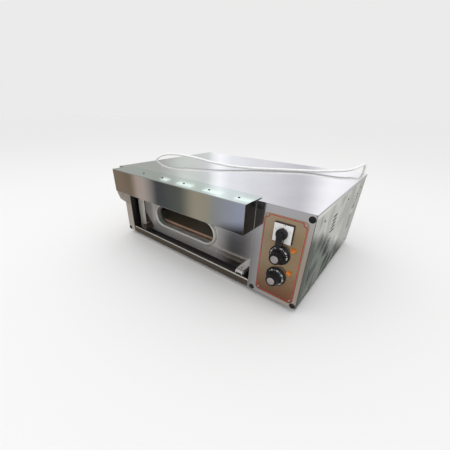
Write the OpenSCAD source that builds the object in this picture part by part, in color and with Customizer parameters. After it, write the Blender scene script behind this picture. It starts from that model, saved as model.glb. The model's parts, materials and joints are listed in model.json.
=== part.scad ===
// Electric countertop pizza oven: a stainless steel box with one stone deck.
// A drop-down front door carries a window and a full-width hood that is pulled
// to open it. The controls sit in a box at the right.
// Millimetres, +Z up, the front faces -Y. The origin is under the middle of
// the oven, on the surface that it stands on.

/* [Body] */
// Width over the top cover
body_w = 750; // [720:1:800]
// Depth from the front plane to the rear edge of the top cover
body_d = 530; // [510:1:600]
// Height of the body, without its feet
body_h = 264; // [258:1:290]
// Thickness of the steel sheet
sheet = 1; // [0.8:0.1:1.5]
// Radius of the sheet's bends, at the middle of the sheet
bend_r = 1.5; // [1:0.1:1.8]
// Height of the rubber feet
foot_h = 15; // [12:1:25]
// Diameter of the rubber feet
foot_d = 36; // [25:1:45]
// Distance of the feet from the body's sides
foot_inset = 60; // [40:1:80]
// Height of the front lip of the base pan
lip_h = 22; // [18:1:24]
// Depth of the front lip of the base pan
lip_d = 7; // [6:0.5:7]
// Height of the flanges inside the base pan's edges
pan_flange = 18; // [10:1:25]
// Height of the flanges round the top cover
cover_flange = 12; // [8:1:18]
// Width of the strip in front of the left side panel
cheek_w = 40; // [30:1:44]
// Width of the control panel
panel_w = 145; // [140:1:160]
// Depth of the control panel's folded sides
panel_return = 40; // [30:1:46]
// Length of a cooling slot in the right side
slot_l = 38; // [20:1:60]
// Height of a cooling slot
slot_h = 5; // [3:0.5:7]
// Spacing of the cooling slots
slot_pitch = 11; // [9:0.5:12]
// Slots in each stack
slot_n = 5; // [2:1:5]

/* [Door] */
// Distance of the door's face behind the front plane
recess = 48; // [46:0.5:52]
// Thickness of the door
door_t = 19; // [17:0.5:24]
// Gap between the door and the frame on each side
door_side_gap = 2.5; // [1.5:0.5:3]
// Height of the door's lower edge above the body's underside
door_z0 = 10; // [9:1:12]
// Gap between the door's upper edge and the body's top
door_top_gap = 15; // [13:1:24]
// Height of the lower edge of the door's inner tray
tray_z0 = 28; // [26:1:34]
// Length of the window opening
window_l = 288; // [220:1:300]
// Height of the window opening
window_h = 73; // [60:1:80]
// Middle of the window, from the middle of the body
window_x = -83; // [-100:1:-60]
// Middle of the window above the body's underside
window_z = 94; // [88:1:100]
// Diameter of the rolled bead round the window
bead_d = 10; // [7:0.5:11]
// Middle of the bead in front of the door's face
bead_out = 3; // [1:0.5:4]
// Wall of the window's sleeve
sleeve_t = 1.5; // [1:0.1:2]
// Thickness of the window glass
glass_t = 4; // [3:0.5:5]
// The glass behind the door's face
glass_in = 8; // [5:0.5:9]
// How far the glass runs under its seat
glass_lap = 7; // [5:0.5:9]
// Thickness of the sealing ring behind the glass
gasket_t = 1.4; // [1:0.1:2]

/* [Hood] */
// How far the hood stands out in front of the body
hood_out = 52; // [45:1:60]
// Height of the hood's front
hood_drop = 80; // [60:1:90]
// How far the hood's top reaches behind the front plane
hood_back = 27; // [22:1:30]
// Gap between the hood's top and the top cover
hood_lift = 1.4; // [1.2:0.1:2.5]
// How far the hood's right end laps over the control panel
hood_lap = 1.5; // [0:0.5:4]
// Folded edge under the hood's front
hood_hem = 9; // [6:0.5:14]
// Height of the left end plate
wing_drop = 148; // [144:1:154]
// Drop from the hood's top to where that plate's front edge sweeps back
wing_bend_drop = 61; // [56:1:70]
// Radius of that sweep
wing_r = 137; // [120:1:140]
// Distance from the front plane to the hood's riser
riser_y = 14; // [8:1:18]
// Diameter of the hood screws' heads
screw_d = 7; // [5:0.5:9]

/* [Hinge] */
// Distance of the hinge axis behind the front plane
axis_y = 20; // [19.5:0.5:22]
// Height of the hinge axis above the body's underside
axis_z = 24; // [22:0.5:26]
// Diameter of the hinge pins
pin_d = 8; // [6:0.5:9]
// Radial clearance of the hinge pins in the fixed eyes
pin_play = 0.05; // [0.02:0.01:0.1]
// Outer radius of the hinge arms round the pin
arm_r = 12; // [10.5:0.1:12]
// Width of a hinge arm
arm_w = 24; // [18:1:30]
// Thickness of the hinge arm's walls
arm_t = 2.5; // [2:0.1:3]
// Distance of the hinge arms from the door's edges
arm_inset = 36; // [30:1:50]
// Height of the hinge arm's foot on the door
arm_foot_h = 48; // [20:1:55]

/* [Chamber] */
// Depth of the baking chamber
chamber_d = 400; // [350:1:410]
// Overlap of the door on the chamber's frame
door_lap = 16; // [10:1:24]
// Height of the chamber's floor above the body's underside
chamber_z0 = 30; // [26:1:34]
// Thickness of the roof over the chamber
roof_t = 42; // [36:1:48]
// Thickness of the stone deck
stone_t = 18; // [12:1:18]
// Height of the top of the stone deck
stone_z = 66; // [64:1:68]
// Gap round the stone deck
stone_gap = 4; // [2:0.5:6]
// Diameter of the heater tubes
heater_d = 8; // [6:0.5:8.5]
// Spacing of the heaters' legs
heater_pitch = 60; // [50:1:66]

/* [Controls] */
// Drop from the body's top to the switch
switch_drop = 61; // [56:1:64]
// Side of the switch plate
switch_s = 48; // [40:1:50]
// Distance from the switch down to the upper knob
switch_pitch = 60; // [58:1:62]
// Distance from the upper knob down to the lower one
knob_pitch = 64; // [58:1:66]
// Diameter of the knobs' skirts
knob_d = 53; // [45:1:56]
// How far the knobs stand out of the fascia
knob_h = 30; // [24:1:34]
// Diameter of the knobs' grips
grip_d = 30; // [26:0.5:32]
// Diameter of the caps in the knobs
cap_d = 20; // [16:0.5:22]
// Diameter of the spindles
spindle_d = 6; // [5:0.5:6.5]
// Radial clearance of the spindles
spindle_play = 0.05; // [0.02:0.01:0.1]
// Width of the fascia plate
fascia_w = 108; // [100:1:110]
// Gap between the fascia plate and the body's top
fascia_top = 21; // [20:1:26]
// Distance of the controls' line from the right side
controls_in = 65; // [63:1:66]
// Thickness of the fascia plate
fascia_t = 1; // [0.5:0.1:1.5]
// Sideways distance of a lamp from its knob
lamp_dx = 31; // [29:1:34]
// Height of a lamp above its knob
lamp_dz = 23.5; // [21:0.5:26]
// Diameter of a lamp's lens
lamp_d = 12; // [9:0.5:13]
// Diameter of the black caps over the panel screws
plug_cap_d = 16; // [12:0.5:16]

/* [Cord] */
// Diameter of the power cord
cord_d = 9; // [8:0.5:9]
// Middle radius of the coil
coil_r = 50; // [45:1:54]
// Turns in each of the coil's two layers
coil_turns = 1; // [1:1:2]
// Gap between the coil's turns
coil_gap = 2; // [1.5:0.1:2.5]
// Thickness of the coil's tie
tie_t = 1; // [0.8:0.1:1.2]
// Length of the cord gland outside the rear panel
gland_l = 32; // [30:1:36]

/* [Hidden] */
$fn = 48;
// Gap between sheets that lie against each other
seam = 0.1;
// Clearance of the heater tubes and sensors in their holes
hole_fit = 0.2;
// Clearance of the tie over and under the coil, and at its sides
soft_fit = 0.3;
tie_fit = 1.2;
// Overlap that lets a cut pass cleanly through a face
cut = 1;
// Angle between the points of a sheet's bend
bend_step = 15;

// Places of the body's faces, from the front plane and the underside
y_front = hood_out - (body_d + hood_out) / 2;
side_x = body_w / 2 - sheet - seam;
inner_x = side_x - sheet;
rear_y = body_d - sheet - seam;
wall_top = body_h - sheet - bend_r;
// What stands in the base pan is held off the bends of its left and rear edges
lining_l = -inner_x + 2 * (sheet + seam);
lining_y = rear_y - 2 * sheet - bend_r;
cheek_x = -side_x + cheek_w;
panel_x = side_x - panel_w;
// The slots in the right side and the rear, and the casing's screws
slot_ys = [178, 430];
slot_zs = [body_h - 172, body_h - 98];
rear_slot_xs = [side_x - 114, side_x - 70, side_x - 26];
rear_slot_z = body_h - 114;
screw_ys = [76, 300, 480];
screw_zs = [20, body_h - 37];
rear_screw_xs = [34 - side_x, -120, 120, side_x - 34];

// The door and what stands round it
jamb_w = 42;
jamb_x = cheek_x + 15;
jamb_y = recess + 2;
door_z1 = body_h - door_top_gap;
door_l = jamb_x + door_side_gap;
door_r = panel_x - door_side_gap;
door_y1 = recess + door_t;
frame_gap = 1;
frame_y = door_y1 + frame_gap;
tray_fit = sheet + seam;
hem_d = 4;
window_r = window_h / 2;
glass_l = window_l + 2 * glass_lap;
glass_h = window_h + 2 * glass_lap;
glass_y0 = recess + glass_in;
glass_y1 = glass_y0 + glass_t;
collar_y0 = glass_y1 + gasket_t;
sleeve_h = window_h + 2 * sleeve_t;
sleeve_l = window_l + 2 * sleeve_t;

// The hood
hood_side_gap = 0.7;
hood_l = cheek_x + hood_side_gap;
hood_r = panel_x + hood_lap;
hood_z1 = body_h + hood_lift + sheet;
hood_z0 = hood_z1 - hood_drop;
hood_end_y = -2;
wing_z = hood_z1 - wing_drop;
wing_bend_z = hood_z1 - wing_bend_drop;
wing_turn = 23;
wing_tip = 10;
wing_tip_rise = 7;
notch_gap = 1.5;
hanger_flange = 24;
hanger_top_d = 40;
hanger_in = 12;
hood_screw_n = 5;
hood_screw_pitch = 96;
hood_screw_y = riser_y - hanger_top_d + 8;
hood_screw_in = 40;
head_h = 2;

// The hinge
arm_z1 = axis_z + arm_r;
arm_xs = [door_l + arm_inset, door_r - arm_inset];
eye_side_gap = 0.3;
eye_w = arm_w - 2 * (arm_t + eye_side_gap);
eye_r = arm_r - arm_t - 1;
eye_post = 9;
pin_head_d = pin_d + 4;
pin_head_t = 2;
arm_mouth = 3.5;
arm_foot_in = 4;
arm_hole_d = 5.5;
arm_hole_in = 6;

// The baking chamber
room_l = door_l + door_lap;
room_r = door_r - door_lap;
room_y0 = frame_y + sheet + seam;
room_y1 = room_y0 + chamber_d;
chamber_z1 = body_h - roof_t;
mouth_z0 = chamber_z0 + 10;
stone_z0 = stone_z - stone_t;
rail_w = 20;
rail_t = 1.5;
rail_in = 10;
stone_front = 2;
lower_heater_z = chamber_z0 + heater_d;
upper_heater_z = chamber_z1 - 16;
heater_leg_n = 6;
heater_y0 = (room_y0 + room_y1) / 2 - heater_pitch * (heater_leg_n - 1) / 2;
heater_y1 = heater_y0 + heater_pitch * (heater_leg_n - 1);
heater_in = 20;
heater_x0 = room_l + heater_in;
heater_x1 = room_r - heater_in;
heater_end = panel_x + 16;
terminal_d = 4;
terminal_l = 12;
support_t = 1.5;
support_end = 20;
support_x = (room_l + room_r) / 2;
sensor_d = 6;
sensor_l = 110;
capillary_d = 2.4;
sensor_y = (room_y0 + room_y1) / 2;

// The controls
controls_x = side_x - controls_in;
switch_z = body_h - switch_drop;
upper_knob_z = switch_z - switch_pitch;
lower_knob_z = upper_knob_z - knob_pitch;
fascia_x0 = controls_x - fascia_w / 2;
fascia_z0 = 13;
fascia_h = body_h - fascia_top - fascia_z0;
fascia_y = -fascia_t;
knob_gap = 1.5;
skirt_t = 6;
cap_seat = 1.5;
thermostat_w = 44;
thermostat_h = 40;
thermostat_d = 38;
bush_d = 11;
spindle_end = sheet + 20;
switch_base_t = 5;
switch_plate_t = 1.2;
switch_body_s = 42;
switch_body_d = 54;
handle_gap = 0.8;
handle_y0 = fascia_y - switch_base_t - switch_plate_t - handle_gap;
handle_h = 18;
lamp_hole_d = 9;
lamp_body_d = 14;
lamp_body_l = 16;
plug_cap_h = 4;

// The cord. Route points are in the body's frame: from the front plane and
// the underside. It leaves the rear, lies over the top and goes down the left.
gland_x = 318;
gland_z = 70;
gland_hole_d = 20;
sleeve_wall = 1.2;
floor_z = -foot_h;
cord_z = floor_z + cord_d / 2 + tie_t + soft_fit;
coil_start = [-385, 288];
lead_route = [
    [gland_x, rear_y + gland_l, gland_z], [318, 576, 70], [319, 597, 76],
    [322, 612, 92], [327, 620, 115], [333, 622, 150], [340, 621, 190],
    [346, 616, 225], [350, 606, 255], [352, 589, 277], [352, 566, 288],
    [349, 541, 290], [343, 516, 286], [333, 490, 281], [318, 462, 278],
    [295, 440, 276], [262, 424, 273], [224, 408, 270], [180, 388, 269],
    [130, 358, 269], [84, 328, 269], [38, 299, 269.5], [-30, 262, 273],
    [-80, 247, 277], [-128, 240, 281], [-180, 238, 286], [-235, 232, 290],
    [-296, 217, 293], [-345, 203, 288], [-380, 195, 274], [-402, 188, 250],
    [-408, 184, 215], [-408, 176, 170], [-406, 170, 125], [-403, 170, 80],
    [-398, 180, 38], [-392, 202, 8], [-387, 232, -6], [-385, 260, cord_z],
    [coil_start[0], coil_start[1], cord_z]
];
tube_sides = 10;
coil_sides = 6;
coil_step = cord_d + coil_gap;
coil_rise = cord_d + 1.4;
coil_r0 = coil_r + coil_step * coil_turns / 2;
coil_rings = 24;
coil_all = 2 * coil_turns + 0.5;
coil_x = coil_start[0] - coil_r0;
coil_y = coil_start[1] + cord_d;
tie_w = 12;
plug_w = 36;
plug_l = 42;
plug_neck_l = 26;
plug_neck_r = cord_d / 2 + 4;
plug_pin_d = 4.8;
plug_pin_l = 19;
plug_pin_gap = 19;

// Helpers

// Puts a piece drawn from the front plane and the underside into its place
module oven() translate([0, y_front, foot_h]) children();

// A box between two corners
module block(a, b) translate(a) cube(b - a);

// A flat shape drawn in X and Z, made solid between two depths
module plate(y0, y1)
    translate([0, y1, 0]) rotate([90, 0, 0]) linear_extrude(y1 - y0) children();

// A flat shape drawn in Y and Z, made solid between two places along X
module slice(x0, x1)
    translate([x0, 0, 0]) rotate([90, 0, 90]) linear_extrude(x1 - x0) children();

// A direction of length 1
function unit(v) = v / norm(v);

// The flat profile of a folded sheet: square bends along a path of middle points
module folded(path) {
    far_edge = fold_edge(path, -sheet / 2);
    polygon(concat(fold_edge(path, sheet / 2), [for (i = [len(far_edge) - 1:-1:0]) far_edge[i]]));
}

// One edge of that profile, k to the left of the path, with an arc at each bend
function way(path, i) = unit(path[i + 1] - path[i]);
function left(d) = [-d[1], d[0]];
function fold_edge(path, k) = let (last = len(path) - 1) [
    path[0] + k * left(way(path, 0)),
    for (i = [1:last - 1])
        let (into = way(path, i - 1), out = way(path, i), r = bend_r - k * cross(into, out))
        for (a = [0:bend_step:90]) path[i] + bend_r * (out - into) + r * (into * sin(a) - out * cos(a)),
    path[last] + k * left(way(path, last - 1))
];

// A round bar along X, Y or Z
module bar_x(x0, x1, y, z, d) translate([x0, y, z]) rotate([0, 90, 0]) cylinder(d = d, h = x1 - x0);
module bar_y(y0, y1, x, z, d) translate([x, y1, z]) rotate([90, 0, 0]) cylinder(d = d, h = y1 - y0);
module bar_z(z0, z1, x, y, d) translate([x, y, z0]) cylinder(d = d, h = z1 - z0);

// A shape with straight sides and half-round ends
module stadium(l, h) {
    square([l - h, h], center = true);
    for (s = [-1, 1]) translate([s * (l - h) / 2, 0]) circle(d = h);
}

// A domed head that stands out of a face in front, at a place in X and Z
module dome_y(x, y, z, d, h) {
    ball_r = (d * d / 4 + h * h) / (2 * h);
    translate([x, y, z]) rotate([90, 0, 0]) rotate_extrude()
        intersection() {
            translate([0, h - ball_r]) circle(r = ball_r, $fn = 120);
            square([d, h]);
        }
}

// A stack of slots, one above another
module slot_stack(across, z, l)
    for (i = [0:slot_n - 1]) translate([across, z + i * slot_pitch]) stadium(l, slot_h);

// The body

// A tray with upright sides and rear, and a folded lip under the door
module base_pan() color("dimgray") oven() {
    mid = sheet / 2;
    pan_x = inner_x - seam;
    pan_y0 = sheet + 2 * bend_r;
    pan_y1 = rear_y - sheet - seam;
    tray_y1 = pan_y1 - bend_r - mid;
    lip_back = 8;
    plate(pan_y0, tray_y1)
        folded([[mid - pan_x, pan_flange], [mid - pan_x, mid], [pan_x - mid, mid],
                [pan_x - mid, pan_flange]]);
    slice(bend_r + sheet - pan_x, pan_x - bend_r - sheet)
        folded([[tray_y1 - 1, mid], [pan_y1 - mid, mid], [pan_y1 - mid, pan_flange]]);
    slice(cheek_x + seam, panel_x - seam)
        folded([[pan_y0 + 1, mid], [mid, mid], [mid, lip_h - mid], [lip_d - mid, lip_h - mid],
                [lip_d - mid, lip_h - lip_back]]);
}

// The side and the strip in front of it, folded from one sheet
module left_side_panel() color("silver") oven() {
    mid = sheet / 2;
    linear_extrude(wall_top)
        folded([[mid - side_x, rear_y], [mid - side_x, mid], [cheek_x, mid]]);
}

module right_side_panel() color("silver") oven()
    difference() {
        block([inner_x, panel_return + seam, 0], [side_x, rear_y, wall_top]);
        slice(inner_x - cut, side_x + cut)
            for (y = slot_ys, z = slot_zs) slot_stack(y, z, slot_l);
    }

module rear_panel() color("silver") oven()
    difference() {
        block([-inner_x + seam, rear_y - sheet, 0], [inner_x - seam, rear_y, wall_top]);
        plate(rear_y - sheet - cut, rear_y + cut)
            for (x = rear_slot_xs) slot_stack(x, rear_slot_z, slot_l);
        bar_y(rear_y - sheet - cut, rear_y + cut, gland_x, gland_z, gland_hole_d);
    }

// A sheet folded down at both sides and the rear, cut out behind the hood
module top_cover() color("gainsboro") oven() {
    mid = sheet / 2;
    half = body_w / 2;
    rear_bend = body_d - bend_r - mid;
    difference() {
        plate(0, rear_bend)
            folded([[mid - half, body_h - cover_flange], [mid - half, body_h - mid],
                    [half - mid, body_h - mid], [half - mid, body_h - cover_flange]]);
        block([cheek_x, -cut, body_h - sheet - cut],
              [panel_x, hood_back + notch_gap, body_h + cut]);
    }
    slice(bend_r + sheet - half, half - bend_r - sheet)
        folded([[rear_bend - 1, body_h - mid], [body_d - mid, body_h - mid],
                [body_d - mid, body_h - cover_flange]]);
}

module control_panel() color("silver") oven()
    difference() {
        mid = sheet / 2;
        union() {
            linear_extrude(wall_top)
                folded([[panel_x + mid, panel_return], [panel_x + mid, mid], [side_x - mid, mid],
                        [side_x - mid, panel_return]]);
            block([panel_x + bend_r + sheet, 0, wall_top - 1],
                  [side_x - bend_r - sheet, sheet, body_h - sheet - seam]);
        }
        block([panel_x - cut, sheet + seam, -cut],
              [panel_x + bend_r + sheet, panel_return + cut, sheet + seam]);
        for (z = [upper_knob_z, lower_knob_z, switch_z])
            bar_y(-cut, sheet + cut, controls_x, z, bush_d + 2 * hole_fit);
        for (z = [upper_knob_z, lower_knob_z])
            bar_y(-cut, sheet + cut, controls_x + lamp_dx, z + lamp_dz, lamp_hole_d + 2 * hole_fit);
    }

module control_box_wall() color("darkgray") oven()
    difference() {
        block([panel_x, panel_return + seam, sheet + seam],
              [panel_x + sheet, lining_y, wall_top]);
        heater_holes(panel_x - cut, panel_x + sheet + cut);
    }

// A frame round the chamber's mouth, folded forward into a post at the left
module face_frame() color("lightgray") oven() {
    frame_r = panel_x - seam;
    difference() {
        block([lining_l, frame_y, sheet + seam], [frame_r, frame_y + sheet, wall_top]);
        block([room_l, frame_y - cut, mouth_z0], [room_r, frame_y + sheet + cut, chamber_z1]);
    }
    mid = sheet / 2;
    post_x = jamb_x - jamb_w;
    translate([0, 0, sheet + seam]) linear_extrude(door_z1 - sheet - seam)
        folded([[post_x + mid, frame_y], [post_x + mid, jamb_y + mid], [jamb_x - mid, jamb_y + mid],
                [jamb_x - mid, frame_y]]);
}

module feet() color("black") oven()
    for (x = [-1, 1], y = [foot_inset, body_d - foot_inset])
        translate([x * (body_w / 2 - foot_inset), y, -foot_h])
            rotate_extrude() {
                edge = 2;
                hole_r = 4;
                polygon([[hole_r, 0], [foot_d / 2 - 2 * edge, 0], [foot_d / 2 - edge, edge],
                         [foot_d / 2, foot_h], [0, foot_h], [0, foot_h / 2], [hole_r, foot_h / 2]]);
            }

// Low-headed screws in the sides and the rear, inside the top cover's edges
module casing_screws() color("gray") oven() {
    for (y = screw_ys, z = screw_zs, s = [-1, 1])
        translate([s * side_x, y, z]) rotate([0, s * 90, 0]) low_head();
    for (x = rear_screw_xs, z = screw_zs)
        translate([x, rear_y, z]) rotate([-90, 0, 0]) low_head();
}

// A flat screw head with a sloped edge, standing up from a face
module low_head() {
    edge = 0.6 * sheet;
    rotate_extrude()
        polygon([[0, 0], [screw_d / 2, 0], [screw_d / 2, sheet - edge], [screw_d / 2 - edge, sheet],
                 [0, sheet]]);
}

// Black plastic caps over the screws of the front
module panel_caps() color("black") oven() {
    edge_x = 9;
    inner_edge_x = 14;
    low_z = 9;
    high_z = wall_top - 10;
    for (x = [-side_x + edge_x, panel_x + inner_edge_x, side_x - edge_x], z = [low_z, high_z])
        dome_y(x, 0, z, plug_cap_d, plug_cap_h);
}

// The baking chamber

module heater_holes(x0, x1) {
    for (y = [heater_y0, heater_y1], z = [lower_heater_z, upper_heater_z])
        bar_x(x0, x1, y, z, heater_d + 2 * hole_fit);
    for (z = [lower_heater_z, upper_heater_z])
        bar_x(x0, x1, sensor_y, z, sensor_d + 2 * hole_fit);
}

// Sides and ceiling, folded from one sheet
module chamber_shell() color("lightgray") oven()
    difference() {
        mid = sheet / 2;
        plate(room_y0, room_y1)
            folded([[room_l - mid, chamber_z0], [room_l - mid, chamber_z1 + mid],
                    [room_r + mid, chamber_z1 + mid], [room_r + mid, chamber_z0]]);
        heater_holes(room_r - cut, room_r + sheet + cut);
    }

module chamber_floor() color("lightgray") oven()
    block([room_l - sheet, room_y0, chamber_z0 - sheet], [room_r + sheet, room_y1, chamber_z0]);

module chamber_back() color("lightgray") oven()
    block([room_l - sheet, room_y1, chamber_z0 - sheet],
          [room_r + sheet, room_y1 + sheet, chamber_z1 + sheet]);

// Mineral wool over the chamber and down both its sides
module insulation_wrap() color("khaki") oven()
    difference() {
        block([lining_l, room_y0, sheet + seam], [panel_x - seam, room_y1, wall_top - seam]);
        block([room_l - sheet - seam, room_y0 - cut, 0],
              [room_r + sheet + seam, room_y1 + cut, chamber_z1 + sheet + seam]);
        heater_holes(room_r, panel_x + cut);
    }

module insulation_rear() color("khaki") oven()
    block([lining_l, room_y1 + sheet + seam, sheet + seam], [panel_x - seam, lining_y, wall_top - seam]);

module insulation_bottom() color("khaki") oven()
    block([room_l - sheet, room_y0, sheet + seam], [room_r + sheet, room_y1, chamber_z0 - sheet - seam]);

module stone_deck() color("peru") oven()
    block([room_l + stone_gap, room_y0 + stone_front, stone_z0],
          [room_r - stone_gap, room_y1 - stone_gap, stone_z]);

// Angle rails that carry the stone at both sides
module stone_rails() color("gray") oven()
    for (s = [-1, 1]) {
        edge = s < 0 ? room_l + seam : room_r - seam;
        y0 = room_y0 + rail_in;
        y1 = room_y1 - rail_in;
        block([min(edge, edge - s * rail_w), y0, stone_z0 - rail_t],
              [max(edge, edge - s * rail_w), y1, stone_z0]);
        difference() {
            block([min(edge, edge - s * rail_t), y0, chamber_z0],
                  [max(edge, edge - s * rail_t), y1, stone_z0 - rail_t]);
            heater_holes(room_r - rail_w, room_r + cut);
        }
    }

// One tube bent to and fro, with both ends out through the right wall
module heater(z) {
    turn_r = heater_pitch / 2;
    bend_l = heater_x0 + turn_r;
    bend_r = heater_x1 - turn_r;
    for (i = [0:heater_leg_n - 1]) {
        outer = i == 0 || i == heater_leg_n - 1;
        bar_x(bend_l, outer ? heater_end : bend_r, heater_y0 + i * heater_pitch, z, heater_d);
        if (outer)
            bar_x(heater_end, heater_end + terminal_l, heater_y0 + i * heater_pitch, z, terminal_d);
    }
    for (i = [0:heater_leg_n - 2])
        translate([i % 2 == 0 ? bend_l : bend_r, heater_y0 + (i + 0.5) * heater_pitch, z])
            rotate(i % 2 == 0 ? 90 : -90) rotate_extrude(angle = 180)
                translate([turn_r, 0]) circle(d = heater_d);
}

module lower_heater() color("slategray") oven() heater(lower_heater_z);
module upper_heater() color("slategray") oven() heater(upper_heater_z);

// Punched strips that hold the heaters up from the floor and under the ceiling
module heater_supports() color("gray") oven()
    for (span = [[chamber_z0, stone_z0 - 1], [upper_heater_z - heater_d, chamber_z1]])
        difference() {
            block([support_x, heater_y0 - support_end, span[0]],
                  [support_x + support_t, heater_y1 + support_end, span[1]]);
            for (i = [0:heater_leg_n - 1], z = [lower_heater_z, upper_heater_z])
                bar_x(support_x - cut, support_x + support_t + cut, heater_y0 + i * heater_pitch, z,
                      heater_d + 2 * hole_fit);
        }

// The controls

module fascia_plate() color("tan") oven()
    difference() {
        plate(fascia_y, 0) {
            corner = 12;
            translate([fascia_x0, fascia_z0 + corner]) square([fascia_w, fascia_h - 2 * corner]);
            translate([fascia_x0 + corner, fascia_z0]) square([fascia_w - 2 * corner, fascia_h]);
            for (x = [corner, fascia_w - corner], z = [corner, fascia_h - corner])
                translate([fascia_x0 + x, fascia_z0 + z]) circle(r = corner);
        }
        for (z = [upper_knob_z, lower_knob_z, switch_z])
            bar_y(fascia_y - cut, cut, controls_x, z, bush_d + 2 * hole_fit);
        for (z = [upper_knob_z, lower_knob_z])
            bar_y(fascia_y - cut, cut, controls_x + lamp_dx, z + lamp_dz, lamp_hole_d + 2 * hole_fit);
    }

module fascia_rivets() color("white") oven() {
    edge = 8;
    rivet_d = 5;
    rivet_h = 1.5;
    for (x = [fascia_x0 + edge, fascia_x0 + fascia_w - edge],
         z = [fascia_z0 + edge, fascia_z0 + fascia_h - edge])
        dome_y(x, fascia_y, z, rivet_d, rivet_h);
}

module switch_body() color("dimgray") oven()
    difference() {
        back = sheet + switch_body_d;
        terminal_h = 6;
        terminal_x = 12;
        terminal_zs = [-15, -5, 5, 15];
        union() {
            block([controls_x - switch_body_s / 2, sheet, switch_z - switch_body_s / 2],
                  [controls_x + switch_body_s / 2, back, switch_z + switch_body_s / 2]);
            bar_y(fascia_y, sheet + cut, controls_x, switch_z, bush_d);
            for (s = [-1, 1], z = terminal_zs)
                bar_y(back, back + terminal_h, controls_x + s * terminal_x, switch_z + z, terminal_d);
        }
        spindle_bore(switch_z);
    }

// The blind bore that a spindle turns in
module spindle_bore(z)
    bar_y(fascia_y - cut, spindle_end + spindle_play, controls_x, z, spindle_d + 2 * spindle_play);

module switch_base() color("black") oven()
    difference() {
        block([controls_x - switch_s / 2, fascia_y - switch_base_t, switch_z - switch_s / 2],
              [controls_x + switch_s / 2, fascia_y, switch_z + switch_s / 2]);
        bar_y(fascia_y - switch_base_t - cut, fascia_y + cut, controls_x, switch_z, bush_d);
    }

module switch_plate() color("white") oven()
    difference() {
        rim = 1;
        half = switch_s / 2 - rim;
        back = fascia_y - switch_base_t;
        block([controls_x - half, back - switch_plate_t, switch_z - half],
              [controls_x + half, back, switch_z + half]);
        bar_y(back - switch_plate_t - cut, back + cut, controls_x, switch_z, bush_d);
    }

// A turning spindle that ends inside its knob or handle
module spindle(z, y0) bar_y(y0, spindle_end, controls_x, z, spindle_d);

module switch_spindle() color("gray") oven() spindle(switch_z, handle_y0 - handle_h / 2);

// A round hub with a small pointer at the top and a long thumb lever below
module switch_handle() color("black") oven()
    difference() {
        hub_r = 14;
        hub_h = 0.6 * handle_h;
        hub_round = 5;
        pointer_w = 4;
        pointer_l = 16;
        pointer_h = 0.35 * handle_h;
        boss_r = 8.5;
        boss_round = 3;
        lever_l = 28;
        lever_r = 6.5;
        lever_h = 0.85 * handle_h;
        translate([controls_x, 0, switch_z]) {
            translate([0, handle_y0, 0]) rotate([90, 0, 0]) rotate_extrude() {
                rounded_corner(hub_r, hub_h, hub_round);
                rounded_corner(boss_r, handle_h, boss_round);
            }
            plate(handle_y0 - pointer_h, handle_y0)
                polygon([[-pointer_w, hub_r - 2], [0, pointer_l], [pointer_w, hub_r - 2]]);
            plate(handle_y0 - lever_h, handle_y0) {
                polygon([[-boss_r, 0], [boss_r, 0], [lever_r, -lever_l], [-lever_r, -lever_l]]);
                translate([0, -lever_l]) circle(r = lever_r);
            }
        }
        bar_y(handle_y0 - handle_h / 2 - spindle_play, handle_y0 + cut, controls_x, switch_z,
              spindle_d + 2 * spindle_play);
    }

// Half of a round knob's section, with its outer top corner rounded
module rounded_corner(r, h, edge) {
    square([r, h - edge]);
    square([r - edge, h]);
    intersection() {
        translate([r - edge, h - edge]) circle(r = edge);
        square([r, h]);
    }
}

// A capillary thermostat: its case, its bush through the panel, and the thin
// tube to the sensor in the chamber
module thermostat(z, sensor_z) {
    back = sheet + thermostat_d;
    tab_x = 14;
    tab_h = 7;
    sensor_end = room_r - sensor_l;
    difference() {
        union() {
            block([controls_x - thermostat_w / 2, sheet, z - thermostat_h / 2],
                  [controls_x + thermostat_w / 2, back, z + thermostat_h / 2]);
            bar_y(fascia_y, sheet + cut, controls_x, z, bush_d);
            for (s = [-1, 1]) bar_y(back, back + tab_h, controls_x + s * tab_x, z, terminal_d);
        }
        spindle_bore(z);
    }
    bar_y(back - cut, sensor_y, controls_x, z, capillary_d);
    bar_z(min(z, sensor_z), max(z, sensor_z), controls_x, sensor_y, capillary_d);
    for (end = [z, sensor_z]) translate([controls_x, sensor_y, end]) sphere(d = capillary_d);
    bar_x(room_r, controls_x, sensor_y, sensor_z, capillary_d);
    bar_x(sensor_end, panel_x + sensor_d, sensor_y, sensor_z, sensor_d);
}

module upper_thermostat() color("dimgray") oven() thermostat(upper_knob_z, upper_heater_z);
module lower_thermostat() color("dimgray") oven() thermostat(lower_knob_z, lower_heater_z);

module upper_spindle() color("gray") oven() spindle(upper_knob_z, fascia_y - knob_h / 2);
module lower_spindle() color("gray") oven() spindle(lower_knob_z, fascia_y - knob_h / 2);

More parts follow.
